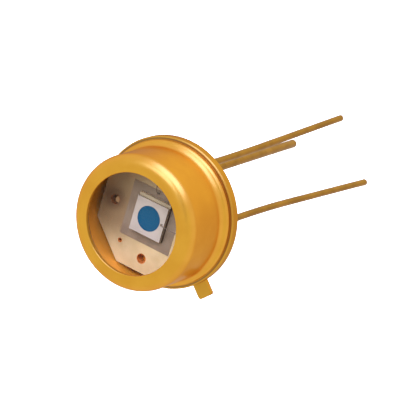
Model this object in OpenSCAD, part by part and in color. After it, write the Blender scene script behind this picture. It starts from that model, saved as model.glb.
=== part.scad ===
// Photodiode in a low gold-plated can with a flat glass window, three leads and a locating tab.
// The origin is the centre of the seating plane, and +Z is the optical axis, towards the window.
// Lead 1 stands at +X, lead 2 at +Y and the case lead at -X. The fourth place, near -Y, is empty.

/* [Can] */
// Outside diameter of the can's barrel
can_d = 8.06; // [7.8:0.02:8.6]
// Height of the can's front face above the seating plane
can_h = 4.46; // [4:0.02:6.5]
// Thickness of the drawn sheet
sheet_t = 0.23; // [0.15:0.01:0.28]
// Diameter of the window opening in the front face
aperture_d = 6.02; // [5.2:0.01:6.2]
// Outside rounding between the barrel and the front face
nose_r = 0.68; // [0.5:0.02:0.74]
// Rounding of the opening's outer edge
aperture_edge_r = 0.05; // [0.03:0.01:0.12]
// Reach of the weld flange beyond the barrel
flange_w = 0.33; // [0.32:0.01:0.6]
// Thickness of the weld flange
flange_t = 0.29; // [0.2:0.01:0.4]
// Hollow rounding between the barrel and the flange
flange_fillet_r = 0.25; // [0.1:0.01:0.25]
// Rounding of the flange's upper edge
flange_edge_r = 0.06; // [0.03:0.01:0.07]

/* [Header] */
// Step from the weld flange out to the header rim
rim_step = 0.2; // [0.1:0.01:0.4]
// Thickness of the header rim
rim_t = 0.64; // [0.4:0.02:0.9]
// Rounding of the rim's upper and lower edge
rim_edge_r = 0.06; // [0.03:0.01:0.09]
// Height of the raised platform above the seating plane
platform_h = 1.5; // [1.2:0.05:1.6]
// Free gap between the platform and the inside of the barrel
platform_gap = 0.25; // [0.15:0.05:0.4]
// Rounding of the platform's upper edge
platform_edge_r = 0.12; // [0.05:0.01:0.15]
// Width of the locating tab
tab_w = 0.92; // [0.6:0.02:1]
// Thickness of the tab, which lies level with the underside
tab_t = 0.3; // [0.2:0.02:0.34]
// Length of the tab beyond the rim
tab_len = 0.9; // [0.6:0.01:1.2]
// Rounding of the tab's two outer corners
tab_corner_r = 0.16; // [0.05:0.01:0.25]
// Angle of the tab, counted from lead 1
tab_angle = -44; // [-60:1:-30]

/* [Leads] */
// Diameter of the circle that the leads stand on
pin_circle_d = 5.08; // [4.6:0.02:5.2]
// Diameter of leads 1 and 2
lead_d = 0.42; // [0.36:0.01:0.5]
// Diameter of the heavier case lead below the header
case_lead_d = 0.54; // [0.48:0.01:0.6]
// Diameter of the case lead's inner post
case_post_d = 0.35; // [0.3:0.01:0.46]
// Length of the taper from the case lead to its inner post, inside the header
case_lead_taper = 0.7; // [0.6:0.05:1]
// Length of the leads below the seating plane
lead_len = 20.1; // [15:0.1:38]
// Length of leads 1 and 2 that leaves the header straight
lead_straight = 3.5; // [1:0.5:6]
// Length of the straight run that ends at the tips of leads 1 and 2
lead_run = 10; // [4:0.5:11]
// Lean of lead 1's tip away from the axis
lead_1_out = 0.53; // [0.3:0.01:1.2]
// Lean of lead 1's tip sideways, clockwise seen from the window
lead_1_drift = 0.34; // [0:0.01:1]
// Lean of lead 2's tip away from the axis
lead_2_out = 0.47; // [0.3:0.01:1.2]
// Lean of lead 2's tip sideways, clockwise seen from the window
lead_2_drift = 0.05; // [0:0.01:0.6]
// Lean of the case lead's tip away from the axis
case_lead_out = 0.12; // [0:0.01:0.17]
// Outside diameter of the glass beads around leads 1 and 2
bead_d = 1.35; // [1:0.05:1.5]
// Diameter of the case lead's bore in the header
case_bore_d = 0.86; // [0.7:0.02:1]
// Depth of the glass and braze below the faces of the header
bead_recess = 0.06; // [0.02:0.01:0.1]

/* [Window] */
// Thickness of the window glass
window_t = 0.4; // [0.2:0.05:0.6]
// Width of the seal between the glass and the foot of the nose's inner rounding
seal_w = 0.02; // [0.01:0.01:0.12]
// Height of the seal's collar below the glass
seal_drop = 0.12; // [0.05:0.01:0.2]

/* [Chip] */
// Free gap between the corners of the eight-sided ceramic plate and the barrel
plate_gap = 0.03; // [0.02:0.01:0.2]
// Thickness of the ceramic plate
plate_t = 0.62; // [0.4:0.02:0.66]
// Free gap around leads 1 and 2 in their holes in the plate
plate_hole_gap = 0.07; // [0.04:0.01:0.12]
// How far the case lead's hole in the plate lies outside its post
case_hole_shift = 0.08; // [0:0.01:0.12]
// Least gap between the case lead's post and its hole in the plate
case_hole_gap = 0.03; // [0.02:0.01:0.08]
// Diameter of the empty hole in the plate
empty_hole_d = 0.56; // [0.5:0.01:0.7]
// Distance of the empty hole from the axis
empty_hole_at = 2.64; // [2.4:0.02:2.8]
// Diameter of the small index hole in the plate
index_hole_d = 0.24; // [0.1:0.02:0.3]
// Distance of the index hole from the axis
index_hole_at = 2.7; // [2.6:0.02:2.9]
// Angle of the index hole, counted from lead 1
index_hole_angle = -126; // [-130:1:-118]
// Depth of the case lead's top below the plate's face
case_post_drop = 0.15; // [0:0.01:0.3]
// Width of the square metal pad on the plate
pad_w = 3.46; // [3.4:0.02:3.7]
// Thickness of the metal pad
pad_t = 0.02; // [0.01:0.005:0.05]
// Shift of the chip from the axis, towards lead 1
chip_shift = 0.03; // [0:0.01:0.2]
// Width of the square chip carrier
carrier_w = 2.18; // [2.16:0.02:2.5]
// Reach of the chip carrier past the die, towards lead 2
carrier_ledge = 0.18; // [0.05:0.01:0.3]
// Thickness of the chip carrier
carrier_t = 0.21; // [0.15:0.01:0.4]
// Width of the square silicon die
die_w = 2.14; // [2:0.02:2.16]
// Thickness of the die
die_t = 0.15; // [0.1:0.01:0.2]
// Diameter of the round active area
active_d = 1.53; // [1.3:0.01:1.58]
// Thickness of the active area's coating
active_t = 0.012; // [0.01:0.001:0.015]
// Thickness of the metal contact frame
frame_t = 0.02; // [0.016:0.001:0.03]

/* [Bond wires] */
// Diameter of the bond wires
wire_d = 0.05; // [0.03:0.01:0.06]
// Rise of a wire above the straight line between its ends
wire_rise = 0.2; // [0.1:0.02:0.3]
// Diameter of the bonds at the wires' ends
bond_d = 0.14; // [0.1:0.01:0.16]
// Height of the bonds
bond_h = 0.05; // [0.04:0.01:0.08]
// Distance of wire 1's bond from the contact frame's edge
wire_1_inset = 0.17; // [0.1:0.01:0.2]
// Distance of wire 2's bond from the pad's edge
wire_2_inset = 0.22; // [0.1:0.01:0.3]

/* [Hidden] */
$fn = 96;

// Radii
can_r = can_d / 2;
bore_r = can_r - sheet_t;
flange_r = can_r + flange_w;
rim_r = flange_r + rim_step;
platform_r = bore_r - platform_gap;
pin_r = pin_circle_d / 2;
plate_corner_r = bore_r - plate_gap;
inner_nose_r = max(nose_r - sheet_t, 0.01);
window_r = bore_r - inner_nose_r - seal_w;
case_post_r = case_post_d / 2;
case_hole_d = case_post_d + 2 * (case_hole_shift + case_hole_gap);

// Heights above the seating plane
flange_top = rim_t + flange_t;
front_underside = can_h - sheet_t;
window_bottom = front_underside - window_t;
plate_top = platform_h + plate_t;
pad_top = plate_top + pad_t;
carrier_top = pad_top + carrier_t;
die_top = carrier_top + die_t;
frame_top = die_top + frame_t;

// Directions of the leads, counted from lead 1
lead_1_angle = 0;
lead_2_angle = 90;
case_lead_angle = 180;
empty_angle = -88;
plate_sides = 8;
// How much a bend fattens a lead
bend_swell = 0.006;
// How far a cutting tool reaches past the faces that it opens
slack = 0.5;

gold = "goldenrod";
pale_gold = "gold";
glass_green = "darkseagreen";
ceramic_cream = "bisque";

// The corner left outside a quarter circle: cut away to round an edge, or added to fill a hollow.
// It reaches from the corner at the origin towards +X and +Y.
module corner_piece(r) {
    difference() {
        square(r);
        translate([r, r]) circle(r);
    }
}

// Half section of the drawn can: front face, barrel and weld flange.
module cap_section() {
    difference() {
        union() {
            translate([aperture_d / 2, front_underside]) square([can_r - aperture_d / 2, sheet_t]);
            translate([bore_r, rim_t]) square([sheet_t, can_h - rim_t]);
            translate([bore_r, rim_t]) square([flange_r - bore_r, flange_t]);
            translate([can_r, flange_top]) corner_piece(flange_fillet_r);
            translate([bore_r, front_underside]) rotate(180) corner_piece(inner_nose_r);
        }
        translate([can_r, can_h]) rotate(180) corner_piece(nose_r);
        translate([aperture_d / 2, can_h]) rotate(-90) corner_piece(aperture_edge_r);
        translate([flange_r, flange_top]) rotate(180) corner_piece(flange_edge_r);
    }
}

// Half section of the header: rim and raised platform.
module header_section() {
    difference() {
        union() {
            square([rim_r, rim_t]);
            square([platform_r, platform_h]);
        }
        translate([rim_r, rim_t]) rotate(180) corner_piece(rim_edge_r);
        translate([rim_r, 0]) rotate(90) corner_piece(rim_edge_r);
        translate([platform_r, platform_h]) rotate(180) corner_piece(platform_edge_r);
    }
}

// Outline of the locating tab, pointing along +X and rooted well inside the rim.
module tab_outline() {
    tab_end = rim_r + tab_len;
    tab_root = rim_r - tab_w;
    difference() {
        translate([tab_root, -tab_w / 2]) square([tab_end - tab_root, tab_w]);
        translate([tab_end, tab_w / 2]) rotate(180) corner_piece(tab_corner_r);
        translate([tab_end, -tab_w / 2]) rotate(90) corner_piece(tab_corner_r);
    }
}

// Puts its children on the pin circle at an angle.
module at_pin(angle) {
    rotate(angle) translate([pin_r, 0, 0]) children();
}

// The straight start of leads 1 and 2, up through the header to the height of the chip's face.
module lead_post() {
    translate([0, 0, -lead_straight]) cylinder(h = frame_top + lead_straight, d = lead_d);
}

// A lead that leaves the header straight, curves gently and ends in a straight run out to its tip.
// The wire is a hair fatter along the curve, and the run starts a little inside the curve's end.
module leaning_lead(out, drift) {
    lean = norm([out, drift]);
    drop = lead_len - lead_straight;
    bend_r = (lean * lean + drop * drop - lead_run * lead_run) / (2 * lean);
    turn = atan2(lean - bend_r, drop) + atan2(bend_r, lead_run);
    bend_end = [bend_r * (1 - cos(turn)), 0, -lead_straight - bend_r * sin(turn)];
    run_start = bend_end - lead_d * [sin(turn), 0, -cos(turn)];
    rotate(-atan2(drift, out)) {
        lead_post();
        translate([bend_r, 0, -lead_straight])
            rotate([90, 0, 0])
                rotate(180)
                    rotate_extrude(angle = turn)
                        translate([bend_r, 0]) circle(d = lead_d + bend_swell);
        translate(run_start) rotate([0, 180 - turn, 0]) cylinder(h = lead_run + lead_d, d = lead_d);
    }
}

// The straight case lead: heavy below the header, with a taper in its bore up to the slim inner post.
// All of it leans a little about the middle of its bore's mouth, so that its tip stands further out.
module straight_lead() {
    post_top = plate_top - case_post_drop;
    rotate([0, -atan2(case_lead_out, lead_len), 0])
        rotate_extrude()
            polygon([
                [0, -lead_len], [case_lead_d / 2, -lead_len], [case_lead_d / 2, 0],
                [case_post_r, case_lead_taper], [case_post_r, post_top], [0, post_top]
            ]);
}

// Glass or braze that fills a header bore around its child, a little short of both faces.
module bore_fill(outer_d) {
    difference() {
        translate([0, 0, bead_recess]) cylinder(h = platform_h - 2 * bead_recess, d = outer_d);
        children();
    }
}

// The cut of a round hole through the ceramic plate, at an angle and a distance from the axis.
module plate_hole(angle, distance, diameter) {
    rotate(angle) translate([distance, 0, -slack]) cylinder(h = plate_t + 2 * slack, d = diameter);
}

// A square layer of the chip stack, standing at a height and shifted towards lead 1.
module square_layer(width, thickness, height, shift = 0) {
    translate([shift - width / 2, -width / 2, height]) cube([width, width, thickness]);
}

// A bond wire along +X in an arc between two bonds, each end given as [distance from the axis, height].
module bond_wire(from, to) {
    from_end = from + [0, bond_h];
    to_end = to + [0, bond_h];
    chord = to_end - from_end;
    middle = (from_end + to_end) / 2;
    arc_r = (chord * chord / 4 + wire_rise * wire_rise) / (2 * wire_rise);
    half_angle = asin(norm(chord) / 2 / arc_r);
    translate([from[0], 0, from[1]]) cylinder(h = bond_h, d = bond_d);
    translate([to[0], 0, to[1]]) cylinder(h = bond_h, d = bond_d);
    translate([middle[0], 0, middle[1]])
        rotate([0, -atan2(chord[1], chord[0]), 0])
            translate([0, 0, wire_rise - arc_r])
                rotate([90, 0, 0])
                    rotate(90 - half_angle)
                        rotate_extrude(angle = 2 * half_angle)
                            translate([arc_r, 0]) circle(d = wire_d);
}

module header() {
    color(gold)
        difference() {
            union() {
                rotate_extrude() header_section();
                rotate(tab_angle) linear_extrude(tab_t) tab_outline();
            }
            for (angle = [lead_1_angle, lead_2_angle])
                at_pin(angle) translate([0, 0, -slack]) cylinder(h = platform_h + 2 * slack, d = bead_d);
            at_pin(case_lead_angle)
                translate([0, 0, -slack]) cylinder(h = platform_h + 2 * slack, d = case_bore_d);
        }
}

module cap() {
    color(gold) rotate_extrude() cap_section();
}

module window() {
    color("lightcyan", 0.3) translate([0, 0, window_bottom]) cylinder(h = window_t, r = window_r);
}

module window_seal() {
    color(glass_green)
        rotate_extrude()
            difference() {
                translate([window_r, window_bottom - seal_drop])
                    square([bore_r - window_r, window_t + seal_drop]);
                translate([bore_r, front_underside]) rotate(180) corner_piece(inner_nose_r);
            }
}

module lead_1() {
    color(pale_gold) at_pin(lead_1_angle) leaning_lead(lead_1_out, lead_1_drift);
}

module lead_2() {
    color(pale_gold) at_pin(lead_2_angle) leaning_lead(lead_2_out, lead_2_drift);
}

module case_lead() {
    color(pale_gold) at_pin(case_lead_angle) straight_lead();
}

module bead_1() {
    color(glass_green) at_pin(lead_1_angle) bore_fill(bead_d) lead_post();
}

module bead_2() {
    color(glass_green) at_pin(lead_2_angle) bore_fill(bead_d) lead_post();
}

module case_braze() {
    color("darkgoldenrod") at_pin(case_lead_angle) bore_fill(case_bore_d) straight_lead();
}

module ceramic_plate() {
    color(ceramic_cream)
        translate([0, 0, platform_h])
            difference() {
                rotate(180 / plate_sides) cylinder(h = plate_t, r = plate_corner_r, $fn = plate_sides);
                for (angle = [lead_1_angle, lead_2_angle])
                    plate_hole(angle, pin_r, lead_d + 2 * plate_hole_gap);
                plate_hole(case_lead_angle, pin_r + case_hole_shift, case_hole_d);
                plate_hole(empty_angle, empty_hole_at, empty_hole_d);
                plate_hole(index_hole_angle, index_hole_at, index_hole_d);
            }
}

module bond_pad() {
    color("gray") square_layer(pad_w, pad_t, plate_top);
}

// The carrier stands as far past the die on three sides as its width gives, and further towards lead 2.
module chip_carrier() {
    reach = die_w / 2 + carrier_ledge;
    color(ceramic_cream)
        translate([chip_shift - carrier_w / 2, -carrier_w / 2, pad_top])
            cube([carrier_w, carrier_w / 2 + reach, carrier_t]);
}

module die() {
    color("dimgray") square_layer(die_w, die_t, carrier_top, chip_shift);
}

module contact_frame() {
    color("lavenderblush")
        difference() {
            square_layer(die_w, frame_t, die_top, chip_shift);
            translate([chip_shift, 0, die_top - slack]) cylinder(h = frame_t + 2 * slack, d = active_d);
        }
}

module active_area() {
    color("steelblue") translate([chip_shift, 0, die_top]) cylinder(h = active_t, d = active_d);
}

module bond_wire_1() {
    color(pale_gold)
        rotate(lead_1_angle)
            bond_wire([chip_shift + die_w / 2 - wire_1_inset, frame_top], [pin_r, frame_top]);
}

module bond_wire_2() {
    color(pale_gold)
        rotate(lead_2_angle)
            bond_wire([pad_w / 2 - wire_2_inset, pad_top], [pin_r, frame_top]);
}

header();
cap();
window();
window_seal();
lead_1();
lead_2();
case_lead();
bead_1();
bead_2();
case_braze();
ceramic_plate();
bond_pad();
chip_carrier();
die();
contact_frame();
active_area();
bond_wire_1();
bond_wire_2();
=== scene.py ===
"""Looks of the photodiode: a gold-plated can, its glass window and the chip, on a pale floor."""

import logging
import math
from collections.abc import Callable
from dataclasses import dataclass, field
from enum import Enum

import bmesh
import bpy
from mathutils import Matrix, Vector

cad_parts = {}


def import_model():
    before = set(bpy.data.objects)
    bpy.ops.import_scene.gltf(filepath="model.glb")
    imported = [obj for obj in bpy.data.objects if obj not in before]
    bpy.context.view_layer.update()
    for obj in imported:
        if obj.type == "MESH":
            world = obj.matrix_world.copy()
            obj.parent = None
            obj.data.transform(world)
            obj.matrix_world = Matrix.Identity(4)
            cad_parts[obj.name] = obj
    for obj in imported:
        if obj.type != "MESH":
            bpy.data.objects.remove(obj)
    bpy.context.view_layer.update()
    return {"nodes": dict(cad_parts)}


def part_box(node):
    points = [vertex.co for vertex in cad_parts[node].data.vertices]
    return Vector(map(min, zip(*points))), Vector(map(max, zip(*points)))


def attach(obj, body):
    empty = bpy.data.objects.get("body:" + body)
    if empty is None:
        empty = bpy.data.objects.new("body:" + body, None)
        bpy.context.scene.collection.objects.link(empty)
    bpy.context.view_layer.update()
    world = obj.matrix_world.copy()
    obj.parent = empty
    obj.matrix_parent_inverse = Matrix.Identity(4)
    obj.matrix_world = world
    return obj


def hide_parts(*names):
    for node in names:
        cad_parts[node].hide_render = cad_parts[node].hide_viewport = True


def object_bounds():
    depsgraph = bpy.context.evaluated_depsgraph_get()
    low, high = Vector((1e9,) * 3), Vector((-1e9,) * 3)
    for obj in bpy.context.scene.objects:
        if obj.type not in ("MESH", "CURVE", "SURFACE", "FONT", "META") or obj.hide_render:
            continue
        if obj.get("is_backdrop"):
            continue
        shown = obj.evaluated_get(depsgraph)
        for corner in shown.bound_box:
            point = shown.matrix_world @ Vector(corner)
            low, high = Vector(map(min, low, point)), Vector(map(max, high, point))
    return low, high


LOG = logging.getLogger("photodiode")
MM = 0.001
FULL_TURN = 2 * math.pi
BODY = "root"

# Lengths that several pieces share, in millimetres
PIN_R = 2.54
LEAD_LEN = 20.1
MERGE_MM = 0.001
GRAIN_DEPTH_MM = 0.01

# Settings of the modelling steps
SMOOTH_DEG = 32
ROUND_PROFILE = 0.5
BORE_SIDES = 64

# Numbers of the sockets that the colour mix uses
MIX_FACTOR = 0
MIX_DARK = 6
MIX_LIGHT = 7
MIX_RESULT = 2

Point = tuple[float, float]
Triple = tuple[float, float, float]
Colour = tuple[float, float, float]
Socket = bpy.types.NodeSocket
Value = float | Socket
Tint = Colour | Socket
Inputs = dict[str | int, object]
Pieces = dict[str, bpy.types.Object]


class Slot(Enum):
    """The record's material slots."""

    GOLD = "gold_plate"
    LEAD = "lead_gold"
    GLASS = "window_glass"


class Seen(Enum):
    """The faces that a light is for."""

    BY_ALL = "all"
    BY_GLOSS = "gloss"
    BY_MATTE = "matte"


def linear(red: int, green: int, blue: int) -> Colour:
    """Turn a colour of 0 to 255 steps into the linear values that shaders take.

    Args:
        red: Red step.
        green: Green step.
        blue: Blue step.

    Returns:
        The linear colour.
    """
    def channel(step: int) -> float:
        """Undo the curve that screens use for one channel."""
        share = step / 255
        return share / 12.92 if share <= 0.04045 else ((share + 0.055) / 1.055) ** 2.4

    return channel(red), channel(green), channel(blue)


class Bench:
    """Modelling steps that the pieces share. Lengths are millimetres until a piece is sealed."""

    @staticmethod
    def clear() -> None:
        """Leave edit mode and deselect every object."""
        if bpy.context.object and bpy.context.object.mode != "OBJECT":
            bpy.ops.object.mode_set(mode="OBJECT")
        bpy.ops.object.select_all(action="DESELECT")

    @classmethod
    def take(cls, piece: bpy.types.Object) -> None:
        """Select one object alone and make it the active one.

        Args:
            piece: The object.
        """
        cls.clear()
        bpy.context.view_layer.objects.active = piece
        piece.select_set(True)

    @staticmethod
    def settle() -> None:
        """Apply the selected object's place, turn and scale to its mesh."""
        bpy.ops.object.transform_apply(location=True, rotation=True, scale=True)

    @classmethod
    def move(cls, piece: bpy.types.Object, step: Matrix) -> None:
        """Move a finished form to its place.

        Args:
            piece: The object.
            step: The turn and shift from where it was modelled.
        """
        cls.take(piece)
        piece.matrix_world = step @ piece.matrix_world
        cls.settle()

    @staticmethod
    def started(name: str) -> bpy.types.Object:
        """Name the primitive that was just added and open it for editing.

        Args:
            name: The piece's name.

        Returns:
            The object, in edit mode.
        """
        piece = bpy.context.object
        piece.name = name
        piece.data.name = name
        bpy.ops.object.mode_set(mode="EDIT")
        bpy.ops.mesh.select_mode(type="VERT")
        return piece

    @staticmethod
    def unpicked(piece: bpy.types.Object, kind: str) -> bmesh.types.BMesh:
        """Set what is selected by and deselect the whole mesh.

        Args:
            piece: The object that is in edit mode.
            kind: VERT or EDGE.

        Returns:
            The mesh that is being edited.
        """
        bpy.ops.mesh.select_mode(type=kind)
        mesh = bmesh.from_edit_mesh(piece.data)
        for part in (*mesh.faces, *mesh.edges, *mesh.verts):
            part.select = False
        return mesh

    @classmethod
    def pick_verts(cls, piece: bpy.types.Object, wanted: Callable[[Vector], bool]) -> None:
        """Select the vertices that a test picks out.

        Args:
            piece: The object that is in edit mode.
            wanted: A test that takes a vertex's place.
        """
        mesh = cls.unpicked(piece, "VERT")
        for vert in mesh.verts:
            vert.select = bool(wanted(vert.co))
        mesh.select_flush_mode()
        bmesh.update_edit_mesh(piece.data)

    @classmethod
    def pick_edges(cls, piece: bpy.types.Object, wanted: Callable[[Vector, Vector], bool]) -> None:
        """Select the edges that a test picks out.

        Args:
            piece: The object that is in edit mode.
            wanted: A test that takes the places of an edge's two ends.
        """
        mesh = cls.unpicked(piece, "EDGE")
        for edge in mesh.edges:
            edge.select = bool(wanted(edge.verts[0].co, edge.verts[1].co))
        mesh.select_flush_mode()
        bmesh.update_edit_mesh(piece.data)

    @staticmethod
    def extrude(step: Triple) -> None:
        """Extrude what is selected by a step."""
        bpy.ops.mesh.extrude_region_move(TRANSFORM_OT_translate={"value": step})

    @classmethod
    def section(cls, name: str, points: list[Point]) -> bpy.types.Object:
        """Draw a half section in the XZ plane by extruding one vertex from point to point.

        Args:
            name: The piece's name.
            points: Radius and height of each corner. A closed section repeats its first corner.

        Returns:
            The object, in edit mode.
        """
        cls.clear()
        bpy.ops.mesh.primitive_plane_add(size=1)
        piece = cls.started(name)
        bpy.ops.mesh.select_all(action="SELECT")
        bpy.ops.mesh.merge(type="CENTER")
        bpy.ops.transform.translate(value=(points[0][0], 0, points[0][1]))
        for (from_r, from_z), (to_r, to_z) in zip(points, points[1:]):
            cls.extrude((to_r - from_r, 0, to_z - from_z))
        cls.merge()
        return piece

    @classmethod
    def round_corner(cls, piece: bpy.types.Object, corner: Point, radius: float, segments: int) -> None:
        """Round one corner of a half section.

        Args:
            piece: The section, in edit mode.
            corner: Radius and height of the corner.
            radius: Radius of the rounding.
            segments: Number of steps in the arc.
        """
        place = Vector((corner[0], 0, corner[1]))
        cls.pick_verts(piece, lambda co: (co - place).length < MERGE_MM)
        bpy.ops.mesh.bevel(offset=radius, segments=segments, profile=ROUND_PROFILE, affect="VERTICES")

    @classmethod
    def turn(cls, steps: int) -> None:
        """Spin the section once round the optical axis and close its seam and poles.

        Args:
            steps: Number of faces round the axis.
        """
        bpy.ops.mesh.select_all(action="SELECT")
        bpy.ops.mesh.spin(steps=steps, angle=FULL_TURN, center=(0, 0, 0), axis=(0, 0, 1))
        cls.merge()
        cls.face_outwards()

    @staticmethod
    def merge() -> None:
        """Merge the vertices that lie on one another."""
        bpy.ops.mesh.select_all(action="SELECT")
        bpy.ops.mesh.remove_doubles(threshold=MERGE_MM)

    @staticmethod
    def face_outwards() -> None:
        """Turn every face of the edited mesh outwards."""
        bpy.ops.mesh.select_all(action="SELECT")
        bpy.ops.mesh.normals_make_consistent(inside=False)

    @classmethod
    def combine(cls, piece: bpy.types.Object, tool: bpy.types.Object, operation: str) -> None:
        """Add a tool solid to a piece or cut it out, then delete the tool.

        Args:
            piece: The piece that is kept.
            tool: The solid that is used up.
            operation: UNION or DIFFERENCE.
        """
        cls.take(piece)
        modifier = piece.modifiers.new(operation, "BOOLEAN")
        modifier.operation = operation
        modifier.solver = "EXACT"
        modifier.object = tool
        bpy.ops.object.modifier_apply(modifier=modifier.name)
        mesh = tool.data
        bpy.data.objects.remove(tool)
        bpy.data.meshes.remove(mesh)

    @classmethod
    def drill(cls, piece: bpy.types.Object, place: Point, radius: float, low: float, high: float) -> None:
        """Cut a round hole along the optical axis through a piece.

        Args:
            piece: The piece.
            place: Where the hole's axis crosses the seating plane.
            radius: Radius of the hole.
            low: Height where the cut starts.
            high: Height where it ends.
        """
        cls.clear()
        bpy.ops.mesh.primitive_cylinder_add(
            vertices=BORE_SIDES, radius=radius, depth=high - low, location=(*place, (low + high) / 2))
        drill = bpy.context.object
        cls.settle()
        cls.combine(piece, drill, "DIFFERENCE")

    @classmethod
    def seal(cls, piece: bpy.types.Object, nodes: list[str], slot: Slot) -> None:
        """Bring a finished piece to metres, shade it and let it stand for its CAD nodes.

        Args:
            piece: The finished piece, still in millimetres.
            nodes: The CAD nodes that it replaces.
            slot: The piece's material slot, which is not used.
        """
        cls.take(piece)
        piece.scale = (MM, MM, MM)
        cls.settle()
        bpy.ops.object.shade_smooth_by_angle(angle=math.radians(SMOOTH_DEG))
        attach(piece, BODY)
        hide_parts(*nodes)
        LOG.info("%s: %d faces, for %s", piece.name, len(piece.data.polygons), ", ".join(nodes))


class Graph:
    """A short way to place and join shader nodes in one tree."""

    def __init__(self, tree: bpy.types.NodeTree) -> None:
        """Start on an emptied tree."""
        self.tree = tree
        tree.nodes.clear()

    def node(self, kind: str, inputs: Inputs | None = None, **settings: object) -> bpy.types.Node:
        """Add a node.

        Args:
            kind: Blender's node type.
            inputs: Values or output sockets for its inputs, by name or number.
            settings: Values of the node's own properties.

        Returns:
            The node.
        """
        node = self.tree.nodes.new(kind)
        for name, value in settings.items():
            setattr(node, name, value)
        for key, value in (inputs or {}).items():
            if isinstance(value, Socket):
                self.tree.links.new(value, node.inputs[key])
            else:
                node.inputs[key].default_value = value
        return node

    def place(self) -> Socket:
        """Add a node for the place on the object, in metres, and return its output."""
        return self.node("ShaderNodeTexCoord").outputs["Object"]

    def effect(self, group: bpy.types.NodeTree, place: Socket, numbers: dict[str, float]) -> bpy.types.Node:
        """Add a node for a shared effect at a place on the object, with its numbers, and return it."""
        return self.node("ShaderNodeGroup", {"Vector": place, **numbers}, node_tree=group)

    def math(self, operation: str, *values: Value) -> Socket:
        """Add a Math node on numbers or sockets and return its output."""
        return self.node("ShaderNodeMath", dict(enumerate(values)), operation=operation).outputs[0]

    def length(self, across: Socket, along: Socket) -> Socket:
        """Add nodes for the length of a step across and along and return their output."""
        squares = self.math("ADD", self.math("POWER", across, 2.0), self.math("POWER", along, 2.0))
        return self.math("SQRT", squares)

    def mix(self, factor: Value, dark: Tint, light: Tint) -> Socket:
        """Add a colour mix.

        Args:
            factor: The share of the light colour.
            dark: The colour at 0.
            light: The colour at 1.

        Returns:
            The mixed colour.
        """
        inputs: Inputs = {MIX_FACTOR: factor}
        for number, tint in ((MIX_DARK, dark), (MIX_LIGHT, light)):
            inputs[number] = tint if isinstance(tint, Socket) else (*tint, 1)
        return self.node("ShaderNodeMix", inputs, data_type="RGBA").outputs[MIX_RESULT]

    def span(self, value: Socket, low: float, high: float, to_low: float = 0.0,
             to_high: float = 1.0) -> Socket:
        """Map a value smoothly from one span to another.

        Args:
            value: The value.
            low: Start of its span.
            high: End of its span.
            to_low: What the start becomes.
            to_high: What the end becomes.

        Returns:
            The mapped value.
        """
        inputs = dict(enumerate((value, low, high, to_low, to_high)))
        return self.node("ShaderNodeMapRange", inputs, interpolation_type="SMOOTHSTEP").outputs[0]

    def grain(self, strength: float, height: Socket) -> Socket:
        """Add a bump of fine grain and return its normal."""
        inputs = {"Strength": strength, "Distance": GRAIN_DEPTH_MM * MM, "Height": height}
        return self.node("ShaderNodeBump", inputs).outputs[0]


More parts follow.
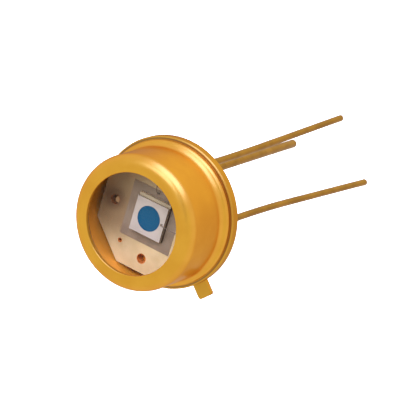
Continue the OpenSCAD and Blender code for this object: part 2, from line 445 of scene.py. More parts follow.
class Effects:
    """Shader node groups that several finishes share. Their numbers are millimetres."""

    def __init__(self) -> None:
        """Build each group once."""
        self.mottle = self._mottle()
        self.ring = self._ring()
        self.inside = self._inside()

    @staticmethod
    def _group(name: str, numbers: dict[str, float], results: tuple[str, ...]) -> tuple[
            bpy.types.NodeTree, Graph, bpy.types.Node, bpy.types.Node]:
        """Make an empty group that takes a place and numbers.

        Args:
            name: The group's name.
            numbers: Name and default of each number that goes in.
            results: Name of each number that comes out.

        Returns:
            The group, a graph on it, its input node and its output node.
        """
        group = bpy.data.node_groups.new(name, "ShaderNodeTree")
        graph = Graph(group)
        group.interface.new_socket(name="Vector", in_out="INPUT", socket_type="NodeSocketVector")
        for label, default in numbers.items():
            socket = group.interface.new_socket(name=label, in_out="INPUT", socket_type="NodeSocketFloat")
            socket.default_value = default
        for label in results:
            group.interface.new_socket(name=label, in_out="OUTPUT", socket_type="NodeSocketFloat")
        return group, graph, graph.node("NodeGroupInput"), graph.node("NodeGroupOutput")

    @classmethod
    def _mottle(cls) -> bpy.types.NodeTree:
        """Make soft cloudy patches and a fine grain.

        Returns:
            The group.
        """
        group, graph, source, sink = cls._group(
            "Mottle", {"Patch": 1.0, "Grain": 0.05}, ("Cloud", "Speckle"))
        scaled = graph.node("ShaderNodeVectorMath", {0: source.outputs["Vector"], 1: (1 / MM,) * 3},
                            operation="MULTIPLY").outputs[0]
        for size, result, detail in (("Patch", "Cloud", 3.0), ("Grain", "Speckle", 2.0)):
            scale = graph.math("DIVIDE", 1.0, source.outputs[size])
            noise = graph.node("ShaderNodeTexNoise", {"Vector": scaled, "Scale": scale, "Detail": detail})
            graph.tree.links.new(noise.outputs["Fac"], sink.inputs[result])
        return group

    @classmethod
    def _ring(cls) -> bpy.types.NodeTree:
        """Make a soft ring round a centre, 1 on its radius and 0 beyond its width, and the distance.

        Returns:
            The group.
        """
        group, graph, source, sink = cls._group(
            "Ring", {"Centre X": 0.0, "Centre Y": 0.0, "Radius": 1.0, "Width": 0.1}, ("Ring", "Distance"))
        parts = graph.node("ShaderNodeSeparateXYZ", {0: source.outputs["Vector"]})
        across, along = (
            graph.math("SUBTRACT", graph.math("DIVIDE", parts.outputs[axis], MM), source.outputs[centre])
            for axis, centre in enumerate(("Centre X", "Centre Y")))
        distance = graph.length(across, along)
        off = graph.math("ABSOLUTE", graph.math("SUBTRACT", distance, source.outputs["Radius"]))
        share = graph.math("DIVIDE", off, source.outputs["Width"])
        ring = graph.node("ShaderNodeMath", {0: 1.0, 1: share}, operation="SUBTRACT", use_clamp=True)
        graph.tree.links.new(ring.outputs[0], sink.inputs["Ring"])
        graph.tree.links.new(distance, sink.inputs["Distance"])
        return group

    @classmethod
    def _inside(cls) -> bpy.types.NodeTree:
        """Mark the faces that lie within a radius and between two heights.

        Returns:
            The group.
        """
        group, graph, source, sink = cls._group(
            "Inside", {"Radius": 1.0, "Low": 0.0, "High": 1.0}, ("Inside",))
        parts = graph.node("ShaderNodeSeparateXYZ", {0: source.outputs["Vector"]})
        distance = graph.math("DIVIDE", graph.length(parts.outputs[0], parts.outputs[1]), MM)
        height = graph.math("DIVIDE", parts.outputs[2], MM)
        within = graph.math("LESS_THAN", distance, source.outputs["Radius"])
        above = graph.math("GREATER_THAN", height, source.outputs["Low"])
        below = graph.math("LESS_THAN", height, source.outputs["High"])
        inside = graph.math("MULTIPLY", within, graph.math("MULTIPLY", above, below))
        graph.tree.links.new(inside, sink.inputs["Inside"])
        return group


@dataclass(frozen=True)
class Finish:
    """What a surface looks like. Each kind of finish lays its own nodes."""

    name: str

    def build(self, effects: Effects) -> bpy.types.Material:
        """Build the material.

        Args:
            effects: The node groups that finishes share.

        Returns:
            The material.
        """
        material = bpy.data.materials.new(self.name)
        material.use_nodes = True
        graph = Graph(material.node_tree)
        shader = graph.node("ShaderNodeBsdfPrincipled", self.inputs(graph, effects))
        graph.node("ShaderNodeOutputMaterial", {"Surface": shader.outputs[0]})
        return material

    def inputs(self, graph: Graph, effects: Effects) -> Inputs:
        """Lay the finish's nodes and return what goes into the shader."""
        raise NotImplementedError


@dataclass(frozen=True)
class MetalFinish(Finish):
    """A plated metal: two tones in soft clouds, a satin gloss and a fine grain. Lengths in millimetres."""

    dark: Colour
    light: Colour
    roughness: float
    roughness_swing: float = 0.08
    cloud_span: Point = (0.3, 0.7)
    patch_mm: float = 1.6
    grain_mm: float = 0.06
    grain_bump: float = 0.04
    coat: float = 0.0
    coat_roughness: float = 0.2
    edge_tint: Colour = (1.0, 1.0, 1.0)
    inside: Colour | None = None
    inside_radius: float = 3.815
    inside_low: float = 0.7
    inside_high: float = 4.24
    inside_dullness: float = 0.55
    seam: Colour | None = None
    seam_radius: float = 4.36
    seam_half: float = 0.07
    seam_full: float = 0.6
    seam_low: float = 0.57
    seam_high: float = 0.73

    def inputs(self, graph: Graph, effects: Effects) -> Inputs:
        """Lay the clouds and grain, the duller inside and the seam.

        Args:
            graph: The material's graph.
            effects: The node groups that finishes share.

        Returns:
            What goes into the shader.
        """
        place = graph.place()
        mottle = graph.effect(effects.mottle, place, {"Patch": self.patch_mm, "Grain": self.grain_mm})
        cloud = mottle.outputs["Cloud"]
        colour = graph.mix(graph.span(cloud, *self.cloud_span), self.dark, self.light)
        half_swing = self.roughness_swing / 2
        rough = graph.span(cloud, *self.cloud_span, self.roughness + half_swing, self.roughness - half_swing)
        metallic: Value = 1.0
        if self.inside:
            within = graph.effect(effects.inside, place, {
                "Radius": self.inside_radius, "Low": self.inside_low, "High": self.inside_high})
            colour = graph.mix(within.outputs["Inside"], colour, self.inside)
            dull = graph.math("MULTIPLY", within.outputs["Inside"], self.inside_dullness)
            metallic = graph.math("SUBTRACT", 1.0, dull)
        if self.seam:
            colour = graph.mix(self._seam(graph, place, effects), colour, self.seam)
        return {
            "Base Color": colour, "Roughness": rough, "Metallic": metallic,
            "Normal": graph.grain(self.grain_bump, mottle.outputs["Speckle"]),
            "Coat Weight": self.coat, "Coat Roughness": self.coat_roughness,
            "Specular Tint": (*self.edge_tint, 1)}

    def _seam(self, graph: Graph, place: Socket, effects: Effects) -> Socket:
        """Mark the narrow line along the weld, whose colour is partly its own and partly painted shade of the
        step beside it.

        Args:
            graph: The material's graph.
            place: The place on the object.
            effects: The node groups that finishes share.

        Returns:
            A value of 1 on the line and 0 beside it.
        """
        ring = graph.effect(effects.ring, place, {"Radius": self.seam_radius, "Width": self.seam_half})
        band = graph.effect(effects.inside, place, {
            "Radius": self.seam_radius + self.seam_half, "Low": self.seam_low, "High": self.seam_high})
        line = graph.span(ring.outputs["Ring"], 0.0, self.seam_full)
        return graph.math("MULTIPLY", band.outputs["Inside"], line)


@dataclass(frozen=True)
class MatteFinish(Finish):
    """An unpolished solid, such as ceramic or silicon: two tones in clouds, with grain."""

    dark: Colour
    light: Colour
    roughness: float = 0.6
    patch_mm: float = 0.8
    grain_mm: float = 0.04
    grain_bump: float = 0.15
    cloud_share: float = 0.7
    tone_span: Point = (0.35, 0.65)
    metallic: float = 0.0

    def inputs(self, graph: Graph, effects: Effects) -> Inputs:
        """Lay the clouds and grain, and what marks the surface.

        Args:
            graph: The material's graph.
            effects: The node groups that finishes share.

        Returns:
            What goes into the shader.
        """
        place = graph.place()
        mottle = graph.effect(effects.mottle, place, {"Patch": self.patch_mm, "Grain": self.grain_mm})
        cloud = graph.math("MULTIPLY", mottle.outputs["Cloud"], self.cloud_share)
        speckle = graph.math("MULTIPLY", mottle.outputs["Speckle"], 1 - self.cloud_share)
        tone = graph.span(graph.math("ADD", cloud, speckle), *self.tone_span)
        plain = graph.mix(tone, self.dark, self.light)
        return {
            "Base Color": self.marked(graph, place, effects, plain), "Roughness": self.roughness,
            "Metallic": self.metallic, "Normal": graph.grain(self.grain_bump, mottle.outputs["Speckle"])}

    def marked(self, graph: Graph, place: Socket, effects: Effects, plain: Socket) -> Socket:
        """Return the plain colour, because nothing marks a plain solid."""
        return plain


@dataclass(frozen=True)
class ShadeSpot:
    """A round spot of painted shade on the ceramic; on a hole's walls it also paints the gold reflection seen
    down the hole. Lengths in millimetres.
    """

    x: float
    y: float
    full_r: float
    end_r: float
    strength: float
    colour: Colour


@dataclass(frozen=True)
class CeramicFinish(MatteFinish):
    """Unglazed ceramic, with spots of painted shade and reflection, or with painted shade on its +X side."""

    shade_spots: tuple[ShadeSpot, ...] = ()
    # edge is the colour of painted shade on the +X side, beyond edge_x.
    edge: Colour | None = None
    edge_x: float = 0.0

    def marked(self, graph: Graph, place: Socket, effects: Effects, plain: Socket) -> Socket:
        """Add the painted shade on the +X side and the painted shade spots to the plain colour.

        Args:
            graph: The material's graph.
            place: The place on the object.
            effects: The node groups that finishes share.
            plain: The ceramic's own colour.

        Returns:
            The marked colour.
        """
        colour = plain
        # Painted shade: the +X side, beyond edge_x, takes the dark edge colour where it faces away from the
        # light.
        if self.edge:
            across = graph.node("ShaderNodeSeparateXYZ", {0: place}).outputs[0]
            shaded_side = graph.math("GREATER_THAN", graph.math("DIVIDE", across, MM), self.edge_x)
            colour = graph.mix(shaded_side, colour, self.edge)
        # Painted shade: each spot darkens the ceramic round its centre.
        for shade_spot in self.shade_spots:
            ring = graph.effect(effects.ring, place, {"Centre X": shade_spot.x, "Centre Y": shade_spot.y})
            mark = graph.span(ring.outputs["Distance"], shade_spot.full_r, shade_spot.end_r, shade_spot.strength, 0.0)
            colour = graph.mix(mark, colour, shade_spot.colour)
        return colour


@dataclass(frozen=True)
class GlassFinish(Finish):
    """Thin clear glass that shows what is behind it and mirrors the lights, most at a grazing angle."""

    tint: Colour
    ior: float = 1.2
    roughness: float = 0.02
    facing_blend: float = 0.5
    grazing_power: float = 5.0

    def inputs(self, graph: Graph, effects: Effects) -> Inputs:
        """Lay the share of light that the glass mirrors.

        Args:
            graph: The material's graph.
            effects: The node groups that finishes share, which clear glass doesn't use.

        Returns:
            What goes into the shader.
        """
        facing = graph.node("ShaderNodeLayerWeight", {"Blend": self.facing_blend}).outputs["Facing"]
        straight = ((self.ior - 1) / (self.ior + 1)) ** 2
        grazing = graph.math("MULTIPLY", graph.math("POWER", facing, self.grazing_power), 1 - straight)
        mirror = graph.math("ADD", grazing, straight)
        return {"Base Color": (*self.tint, 1), "Metallic": 1.0, "Roughness": self.roughness, "Alpha": mirror}


@dataclass(frozen=True)
class DiscFinish(Finish):
    """The coated sensing disc: deep blue, a little darker towards its rim. Lengths in millimetres."""

    middle: Colour
    rim: Colour
    centre_x: float
    radius: float
    rim_w: float = 0.2
    patch_mm: float = 0.7
    cloud_share: float = 0.3
    roughness: float = 0.25
    gloss: float = 0.1

    def inputs(self, graph: Graph, effects: Effects) -> Inputs:
        """Lay the darker rim and the clouds.

        Args:
            graph: The material's graph.
            effects: The node groups that finishes share.

        Returns:
            What goes into the shader.
        """
        place = graph.place()
        ring = graph.effect(effects.ring, place, {
            "Centre X": self.centre_x, "Radius": self.radius, "Width": self.rim_w})
        mottle = graph.effect(effects.mottle, place, {"Patch": self.patch_mm})
        cloud = graph.math("MULTIPLY", mottle.outputs["Cloud"], self.cloud_share)
        colour = graph.mix(graph.math("ADD", ring.outputs["Ring"], cloud), self.middle, self.rim)
        return {"Base Color": colour, "Roughness": self.roughness, "Specular IOR Level": self.gloss}


# Finishes of the can, the header and the leads
INNER_GOLD = linear(240, 170, 62)
# The seam colours paint a darker line along the weld, partly the weld's own and partly painted shade of the
# step between flange and rim.
GOLD_PLATE = MetalFinish(
    "gold_plate", linear(243, 180, 59), linear(251, 190, 67), 0.32, coat=0.2,
    edge_tint=(0.85, 0.66, 0.48), inside=INNER_GOLD, seam=linear(222, 170, 98))
BASE_GOLD = MetalFinish(
    "base_gold", linear(224, 167, 56), linear(231, 176, 63), 0.34, coat=0.2,
    edge_tint=(0.74, 0.58, 0.42), inside=INNER_GOLD, seam=linear(172, 126, 70),
    seam_radius=4.43, seam_half=0.06)
LEAD_GOLD = MetalFinish(
    "lead_gold", linear(172, 131, 49), linear(192, 148, 58), 0.35, patch_mm=1.2,
    inside=linear(180, 146, 108), inside_low=1.0, inside_dullness=0.85)
BRAZE = MetalFinish("braze", linear(170, 125, 60), linear(195, 150, 80), 0.45)
WINDOW_GLASS = GlassFinish("window_glass", (1.0, 1.0, 1.0))
SEAL_GLASS = MatteFinish("seal_glass", linear(90, 105, 90), linear(120, 135, 115), 0.2)
RING_SEAL = MatteFinish("ring_seal", linear(160, 108, 48), linear(176, 122, 56), 0.3)

# Finishes of the chip stack
# Painted shade and reflection of the gold header seen down the holes, laid on the holes' walls.
HOLE_SHADE_AND_REFLECTION = linear(186, 104, 42)
CERAMIC = CeramicFinish(
    "ceramic", linear(190, 168, 130), linear(202, 180, 143),
    shade_spots=(
        # Painted shade: the can's shadow over the plate's left side, and a darker ring round the case post.
        ShadeSpot(-2.35, -0.35, full_r=0.6, end_r=3.1, strength=0.75, colour=linear(100, 72, 49)),
        ShadeSpot(-2.7, 0.06, full_r=0.3, end_r=0.95, strength=0.62, colour=linear(76, 46, 29)),
        # Painted shade and gold reflection on the walls of the case-post hole, the empty hole and the index
        # hole.
        ShadeSpot(-2.62, 0.0, full_r=0.29, end_r=0.33, strength=1.0, colour=linear(124, 76, 44)),
        ShadeSpot(0.092, -2.638, full_r=0.29, end_r=0.33, strength=1.0, colour=HOLE_SHADE_AND_REFLECTION),
        ShadeSpot(-1.587, -2.184, full_r=0.13, end_r=0.16, strength=1.0, colour=HOLE_SHADE_AND_REFLECTION)))
# The carrier's dark edge colour is painted shade on its +X side.
CARRIER = CeramicFinish(
    "carrier", linear(166, 152, 128), linear(180, 166, 142), edge=linear(70, 48, 34), edge_x=1.11)
PAD_METAL = MatteFinish("pad_metal", linear(138, 120, 105), linear(152, 135, 120), 0.5, metallic=0.4)
SILICON = MatteFinish("silicon", linear(128, 116, 104), linear(140, 128, 116), 0.4)
CONTACT_METAL = MatteFinish(
    "contact_metal", linear(164, 154, 151), linear(174, 164, 161), 0.4, grain_bump=0.05)
BOND_WIRE = MatteFinish("bond_wire", linear(104, 92, 84), linear(116, 103, 94), 0.4)
ACTIVE_BLUE = DiscFinish(
    "active_blue", linear(14, 76, 114), linear(12, 71, 107), centre_x=0.03, radius=0.765)


@dataclass
class Wardrobe:
    """The finishes' materials, each built when a piece first wears it."""

    effects: Effects = field(default_factory=Effects)
    materials: dict[str, bpy.types.Material] = field(default_factory=dict)

    def put_on(self, piece: bpy.types.Object, finish: Finish) -> None:
        """Give a piece its finish in place of what it wore.

        Args:
            piece: A new piece or a shown CAD node.
            finish: The finish that it wears.
        """
        if finish.name not in self.materials:
            self.materials[finish.name] = finish.build(self.effects)
        piece.data.materials.clear()
        piece.data.materials.append(self.materials[finish.name])
        LOG.info("%s wears %s", piece.name, finish.name)


class Assembly:
    """A sub-assembly of the part, which models its new pieces and dresses all its nodes."""

    def build(self) -> Pieces:
        """Return no new piece, which is right where the CAD nodes stay as they are."""
        return {}

    def worn(self) -> dict[str, Finish]:
        """Return the finish of each of its CAD nodes."""
        raise NotImplementedError

    def dress(self, wardrobe: Wardrobe, shown: Pieces) -> None:
        """Put each node's finish on the object that shows it.

        Args:
            wardrobe: The finishes' materials.
            shown: By CAD node, the new piece that stands for it, or else the node's own object.
        """
        for node, finish in self.worn().items():
            wardrobe.put_on(shown[node], finish)


@dataclass
class Can(Assembly):
    """The drawn can with its weld flange, and the window behind its opening. Lengths in millimetres."""

    barrel_r: float = 4.03
    sheet: float = 0.23
    opening_r: float = 3.01
    opening_edge_r: float = 0.05
    opening_steps: int = 6
    nose_r: float = 0.68
    nose_steps: int = 16
    inner_nose_steps: int = 8
    flange_t: float = 0.29
    flange_edge_r: float = 0.06
    lip_drop: float = 0.14
    flare_r: float = 0.5
    flare_w: float = 0.25
    flare_steps: int = 14
    glass_edge_r: float = 0.03
    edge_steps: int = 4
    turn_steps: int = 192
    flange_r: float = field(init=False)
    low: float = field(init=False)
    top: float = field(init=False)

    def __post_init__(self) -> None:
        """Take the overall sizes from the frame."""
        lowest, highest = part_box("cap")
        self.flange_r = highest.x / MM
        self.low = lowest.z / MM
        self.top = highest.z / MM

    def build(self) -> Pieces:
        """Model the can and the window and return them by node."""
        return {"cap": self._cap(), "window": self._window()}

    def worn(self) -> dict[str, Finish]:
        """Return the finish of each of its CAD nodes."""
        return {"cap": GOLD_PLATE, "window": WINDOW_GLASS, "window_seal": RING_SEAL}

    def _cap(self) -> bpy.types.Object:
        """Draw the sheet's section, round its corners and turn it.

        Returns:
            The can.
        """
        bore = self.barrel_r - self.sheet
        under = self.top - self.sheet
        start = (bore, self.low)
        flare = self._flare()
        lip = (self.flange_r, flare[0][1] - self.lip_drop)
        cap = Bench.section("cap_shell", [
            start, (self.flange_r, self.low), lip, *flare,
            (self.barrel_r, self.top), (self.opening_r, self.top), (self.opening_r, under),
            (bore, under), start])
        Bench.round_corner(cap, (self.flange_r, self.low), self.flange_edge_r, self.edge_steps)
        Bench.round_corner(cap, (self.barrel_r, self.top), self.nose_r, self.nose_steps)
        Bench.round_corner(cap, (self.opening_r, self.top), self.opening_edge_r, self.opening_steps)
        Bench.round_corner(cap, (bore, under), self.nose_r - self.sheet, self.inner_nose_steps)
        Bench.turn(self.turn_steps)
        Bench.seal(cap, ["cap"], Slot.GOLD)
        return cap

    def _flare(self) -> list[Point]:
        """Lay the soft curve from the flange's top up to the barrel.

        Returns:
            Radius and height of its points.
        """
        flange_top = self.low + self.flange_t
        end = math.asin(1 - self.flare_w / self.flare_r)
        middle_r = self.barrel_r + self.flare_r
        middle_z = flange_top + self.flare_r * math.cos(end)
        points = []
        for step in range(self.flare_steps + 1):
            angle = end + (math.pi / 2 - end) * step / self.flare_steps
            radius = middle_r - self.flare_r * math.sin(angle)
            points.append((radius, middle_z - self.flare_r * math.cos(angle)))
        return points

    def _window(self) -> bpy.types.Object:
        """Turn a disc of glass with softened edges.

        Returns:
            The window.
        """
        lowest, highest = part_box("window")
        low, high, radius = lowest.z / MM, highest.z / MM, highest.x / MM
        window = Bench.section("window_disc", [(0, low), (radius, low), (radius, high), (0, high)])
        for height in (low, high):
            Bench.round_corner(window, (radius, height), self.glass_edge_r, self.edge_steps)
        Bench.turn(self.turn_steps)
        Bench.seal(window, ["window"], Slot.GLASS)
        return window


@dataclass
class Base(Assembly):
    """The header with its rim, platform, lead bores and locating tab. Lengths in millimetres."""

    platform_r: float = 3.55
    platform_edge_r: float = 0.12
    rim_edge_r: float = 0.1
    edge_steps: int = 6
    bead_r: float = 0.675
    case_bore_r: float = 0.43
    bore_overshoot: float = 1.0
    tab_w: float = 0.92
    tab_t: float = 0.3
    tab_len: float = 0.9
    tab_corner_r: float = 0.16
    tab_deg: float = -44
    turn_steps: int = 192
    rim_r: float = field(init=False)
    rim_t: float = field(init=False)
    top: float = field(init=False)

    def __post_init__(self) -> None:
        """Take the overall sizes from the frame."""
        lowest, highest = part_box("header")
        self.rim_r = -lowest.x / MM
        self.top = highest.z / MM
        self.rim_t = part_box("cap")[0].z / MM

    def build(self) -> Pieces:
        """Turn the header, add its tab and drill its bores.

        Returns:
            The header, by node.
        """
        header = Bench.section("header_body", [
            (0, 0), (self.rim_r, 0), (self.rim_r, self.rim_t), (self.platform_r, self.rim_t),
            (self.platform_r, self.top), (0, self.top)])
        Bench.round_corner(header, (self.rim_r, 0), self.rim_edge_r, self.edge_steps)
        Bench.round_corner(header, (self.rim_r, self.rim_t), self.rim_edge_r, self.edge_steps)
        Bench.round_corner(header, (self.platform_r, self.top), self.platform_edge_r, self.edge_steps)
        Bench.turn(self.turn_steps)
        Bench.combine(header, self._tab(), "UNION")
        bores = {(PIN_R, 0): self.bead_r, (0, PIN_R): self.bead_r, (-PIN_R, 0): self.case_bore_r}
        for place, radius in bores.items():
            Bench.drill(header, place, radius, -self.bore_overshoot, self.top + self.bore_overshoot)
        Bench.seal(header, ["header"], Slot.GOLD)
        return {"header": header}

    def worn(self) -> dict[str, Finish]:
        """Return the finish of each of its CAD nodes."""
        return {"header": BASE_GOLD, "bead_1": SEAL_GLASS, "bead_2": SEAL_GLASS, "case_braze": BRAZE}

    def _tab(self) -> bpy.types.Object:
        """Shape a block to the tab's size, round its outer corners and swing it to its place.

        Returns:
            The tab, whose inner end lies inside the rim.
        """
        root = self.rim_r - self.tab_w
        end = self.rim_r + self.tab_len
        Bench.clear()
        bpy.ops.mesh.primitive_cube_add(size=1)
        tab = Bench.started("tab")
        bpy.ops.mesh.select_all(action="SELECT")
        bpy.ops.transform.resize(value=(end - root, self.tab_w, self.tab_t))
        bpy.ops.transform.translate(value=((root + end) / 2, 0, self.tab_t / 2))
        Bench.pick_edges(tab, lambda a, b: min(a.x, b.x) > self.rim_r and abs(a.z - b.z) > MERGE_MM)
        bpy.ops.mesh.bevel(
            offset=self.tab_corner_r, segments=self.edge_steps, profile=ROUND_PROFILE, affect="EDGES")
        Bench.face_outwards()
        Bench.take(tab)
        tab.rotation_euler = (0, 0, math.radians(self.tab_deg))
        Bench.settle()
        return tab


@dataclass
class Lead(Assembly):
    """One solder lead. It leaves the header straight, curves gently and runs out to its tip. Millimetres."""

    node: str
    angle_deg: float
    out: float
    drift: float
    radius: float = 0.21
    straight: float = 3.5
    run: float = 10.0
    ring_steps: int = 32
    bend_steps: int = 12

    def build(self) -> Pieces:
        """Extrude and spin a round face along the lead.

        Returns:
            The lead, by node.
        """
        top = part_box(self.node)[1].z / MM
        # The bend meets both straights without a kink and brings the tip to its lean and depth
        lean = math.hypot(self.out, self.drift)
        drop = LEAD_LEN - self.straight
        bend_r = (lean ** 2 + drop ** 2 - self.run ** 2) / (2 * lean)
        turn = math.atan2(lean - bend_r, drop) + math.atan2(bend_r, self.run)
        Bench.clear()
        bpy.ops.mesh.primitive_circle_add(
            vertices=self.ring_steps, radius=self.radius, fill_type="NGON", location=(0, 0, top))
        lead = Bench.started(self.node + "_wire")
        bpy.ops.mesh.select_all(action="SELECT")
        Bench.extrude((0, 0, -self.straight - top))
        bend_centre = (bend_r, 0, -self.straight)
        bpy.ops.mesh.spin(steps=self.bend_steps, angle=turn, center=bend_centre, axis=(0, 1, 0))
        Bench.extrude((self.run * math.sin(turn), 0, -self.run * math.cos(turn)))
        Bench.merge()
        Bench.face_outwards()
        swing = Matrix.Rotation(math.radians(self.angle_deg), 4, "Z")
        aim = Matrix.Rotation(-math.atan2(self.drift, self.out), 4, "Z")
        Bench.move(lead, swing @ Matrix.Translation((PIN_R, 0, 0)) @ aim)
        Bench.seal(lead, [self.node], Slot.LEAD)
        return {self.node: lead}

    def worn(self) -> dict[str, Finish]:
        """Return the finish of its CAD node."""
        return {self.node: LEAD_GOLD}


@dataclass
class CaseLead(Assembly):
    """The heavier lead: straight, leaning a little, with a taper up to its slim inner post. Millimetres."""

    radius: float = 0.27
    post_r: float = 0.175
    taper: float = 0.7
    out: float = 0.12
    post_top: float = 1.97
    tip_edge_r: float = 0.04
    tip_steps: int = 4
    turn_steps: int = 48

    def build(self) -> Pieces:
        """Turn the lead's section and set it in its place.

        Returns:
            The lead, by node.
        """
        low = -LEAD_LEN
        lead = Bench.section("case_lead_wire", [
            (0, low), (self.radius, low), (self.radius, 0),
            (self.post_r, self.taper), (self.post_r, self.post_top), (0, self.post_top)])
        Bench.round_corner(lead, (self.radius, low), self.tip_edge_r, self.tip_steps)
        Bench.turn(self.turn_steps)
        lean = Matrix.Rotation(math.atan2(self.out, LEAD_LEN), 4, "Y")
        Bench.move(lead, Matrix.Translation((-PIN_R, 0, 0)) @ lean)
        Bench.seal(lead, ["case_lead"], Slot.LEAD)
        return {"case_lead": lead}

    def worn(self) -> dict[str, Finish]:
        """Return the finish of its CAD node."""
        return {"case_lead": LEAD_GOLD}


class ChipStack(Assembly):
    """The plate, the chip and its wires behind the window, whose CAD nodes stay as they are."""

    def worn(self) -> dict[str, Finish]:
        """Return the finish of each of its CAD nodes."""
        return {
            "ceramic_plate": CERAMIC, "bond_pad": PAD_METAL, "chip_carrier": CARRIER, "die": SILICON,
            "contact_frame": CONTACT_METAL, "active_area": ACTIVE_BLUE,
            "bond_wire_1": BOND_WIRE, "bond_wire_2": BOND_WIRE}


@dataclass(frozen=True)
class SkyPatch:
    """A soft round patch of the sky. Angles in degrees from its middle."""

    middle: Triple
    full_deg: float
    end_deg: float

    def mark(self, graph: Graph, direction: Socket) -> Socket:
        """Mark the patch.

        Args:
            graph: The world's graph.
            direction: The direction that is looked up.

        Returns:
            A value of 1 in the middle and 0 outside.
        """
        along = graph.node("ShaderNodeVectorMath", {0: direction, 1: Vector(self.middle).normalized()},
                           operation="DOT_PRODUCT").outputs["Value"]
        end = math.cos(math.radians(self.end_deg))
        return graph.span(along, end, math.cos(math.radians(self.full_deg)))


@dataclass(frozen=True)
class SoftBox:
    """A large soft light that faces the can. Lengths in millimetres, angles in degrees."""

    name: str
    azimuth: float
    elevation: float
    width: float
    height: float
    radiance: Colour
    seen: Seen
    distance: float = 150.0

    def hang(self) -> None:
        """Hang the light, with its azimuth counted from +X and its elevation from the seating plane."""
        azimuth = math.radians(self.azimuth)
        elevation = math.radians(self.elevation)
        level = math.cos(elevation)
        direction = Vector((level * math.cos(azimuth), level * math.sin(azimuth), math.sin(elevation)))
        brightest = max(self.radiance)
        data = bpy.data.lights.new(self.name, "AREA")
        data.shape = "RECTANGLE"
        data.size = self.width * MM
        data.size_y = self.height * MM
        data.color = [channel / brightest for channel in self.radiance]
        data.energy = brightest * math.pi * self.width * self.height * MM ** 2
        light = bpy.data.objects.new(self.name, data)
        turn = direction.to_track_quat("Z", "Y").to_matrix().to_4x4()
        light.matrix_world = Matrix.Translation(direction * self.distance * MM) @ turn
        light.visible_camera = False
        light.visible_glossy = self.seen is not Seen.BY_MATTE
        light.visible_diffuse = self.seen is not Seen.BY_GLOSS
        bpy.context.scene.collection.objects.link(light)


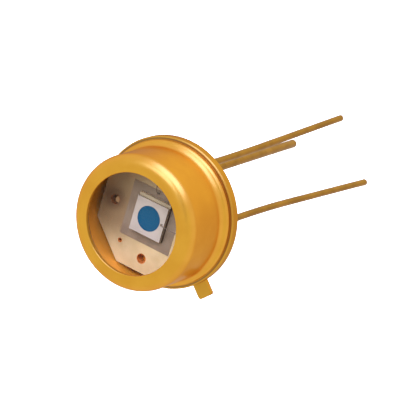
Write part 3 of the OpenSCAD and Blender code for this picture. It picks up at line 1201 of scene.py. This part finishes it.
@dataclass
class Studio:
    """The pale floor, the soft lights and the camera. Lengths in millimetres."""

    eye: Triple = (54.1789, 45.1710, 108.9808)
    aim: Triple = (1.6216, 1.4459, 0.0)
    up_hint: Triple = (-0.40149, 0.90039, -0.16763)
    lens: float = 198.9
    sensor: float = 36.0
    clip_near: float = 5.0
    clip_far: float = 10000.0
    floor_half: float = 1500.0
    floor_tint: Colour = (0.9, 0.9, 0.9)
    floor_roughness: float = 0.9
    floor_glow: float = 1.0
    ground: Colour = (0.65, 0.49, 0.41)
    ground_span: Point = (-0.75, -0.35)
    glow: Colour = (0.86, 0.73, 0.46)
    glow_patch: SkyPatch = SkyPatch((0.05, 0.52, -0.85), full_deg=5, end_deg=45)
    lower_glow: Colour = (0.68, 0.60, 0.58)
    lower_patch: SkyPatch = SkyPatch((0.05, -0.52, -0.85), full_deg=10, end_deg=45)
    horizon: Colour = (0.76, 0.69, 0.76)
    zenith: Colour = (0.71, 0.68, 0.60)
    zenith_span: Point = (0.0, 0.6)
    dim_behind: float = 0.5
    behind_patch: SkyPatch = SkyPatch((-0.45, -0.28, -0.85), full_deg=6, end_deg=22)
    dim_front: float = 0.4
    front_patch: SkyPatch = SkyPatch((0.41, 0.34, 0.85), full_deg=6, end_deg=14)
    lights: tuple[SoftBox, ...] = (
        SoftBox("window_light", azimuth=83, elevation=11, width=150, height=135,
                radiance=(1.1, 1.42, 6.3), seen=Seen.BY_ALL),
        SoftBox("upper_light", azimuth=104, elevation=52, width=90, height=80,
                radiance=(0.95, 1.3, 5.0), seen=Seen.BY_GLOSS),
        SoftBox("overhead", azimuth=88, elevation=51, width=95, height=95,
                radiance=(10.6, 10.6, 10.6), seen=Seen.BY_MATTE))

    def build(self) -> None:
        """Set up the camera, floor, sky and lights."""
        self._camera()
        self._floor()
        self._sky()
        for light in self.lights:
            light.hang()
        bpy.context.scene.view_settings.view_transform = "Standard"

    def _camera(self) -> None:
        """Place the camera at the photograph's angle."""
        eye = Vector(self.eye)
        back = (eye - Vector(self.aim)).normalized()
        right = Vector(self.up_hint).cross(back).normalized()
        data = bpy.data.cameras.new("camera")
        data.lens = self.lens
        data.sensor_width = self.sensor
        data.clip_start = self.clip_near * MM
        data.clip_end = self.clip_far * MM
        camera = bpy.data.objects.new("camera", data)
        turn = Matrix((right, back.cross(right), back)).transposed()
        camera.matrix_world = Matrix.Translation(eye * MM) @ turn.to_4x4()
        bpy.context.scene.collection.objects.link(camera)
        bpy.context.scene.camera = camera

    def _floor(self) -> None:
        """Lay a pale floor under the leads' tips."""
        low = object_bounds()[0][2]
        Bench.clear()
        bpy.ops.mesh.primitive_plane_add(size=2 * self.floor_half * MM, location=(0, 0, low))
        floor = bpy.context.object
        floor.name = "floor"
        Bench.settle()
        floor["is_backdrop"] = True
        material = bpy.data.materials.new("pale_floor")
        material.use_nodes = True
        shader = material.node_tree.nodes["Principled BSDF"]
        shader.inputs["Base Color"].default_value = (*self.floor_tint, 1)
        shader.inputs["Roughness"].default_value = self.floor_roughness
        shader.inputs["Emission Color"].default_value = (1, 1, 1, 1)
        shader.inputs["Emission Strength"].default_value = self.floor_glow
        floor.data.materials.append(material)
        floor.visible_diffuse = False
        floor.visible_glossy = False
        floor.visible_shadow = False

    def _sky(self) -> None:
        """Light the studio from all round: pale above, warm below, and dimmer in two patches."""
        world = bpy.data.worlds.new("studio")
        world.use_nodes = True
        graph = Graph(world.node_tree)
        direction = graph.node("ShaderNodeTexCoord").outputs["Generated"]
        height = graph.node("ShaderNodeSeparateXYZ", {0: direction}).outputs[2]
        below = graph.mix(self.glow_patch.mark(graph, direction), self.ground, self.glow)
        below = graph.mix(self.lower_patch.mark(graph, direction), below, self.lower_glow)
        level = graph.mix(graph.span(height, *self.ground_span), below, self.horizon)
        colour = graph.mix(graph.span(height, *self.zenith_span), level, self.zenith)
        behind = graph.math("MULTIPLY", self.behind_patch.mark(graph, direction), self.dim_behind)
        front = graph.math("MULTIPLY", self.front_patch.mark(graph, direction), self.dim_front)
        strength = graph.math("SUBTRACT", 1.0, graph.math("ADD", behind, front))
        background = graph.node("ShaderNodeBackground", {"Color": colour, "Strength": strength})
        graph.node("ShaderNodeOutputWorld", {"Surface": background.outputs[0]})
        bpy.context.scene.world = world


def main() -> None:
    """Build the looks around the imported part."""
    logging.basicConfig(level=logging.INFO, format="%(message)s")
    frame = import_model()
    assemblies = (
        Can(), Base(),
        Lead("lead_1", angle_deg=0, out=0.53, drift=0.34), Lead("lead_2", angle_deg=90, out=0.47, drift=0.05),
        CaseLead(), ChipStack())
    shown: Pieces = dict(frame["nodes"])
    for assembly in assemblies:
        shown.update(assembly.build())
    wardrobe = Wardrobe()
    for assembly in assemblies:
        assembly.dress(wardrobe, shown)
    Studio().build()


if __name__ == "__main__":
    main()
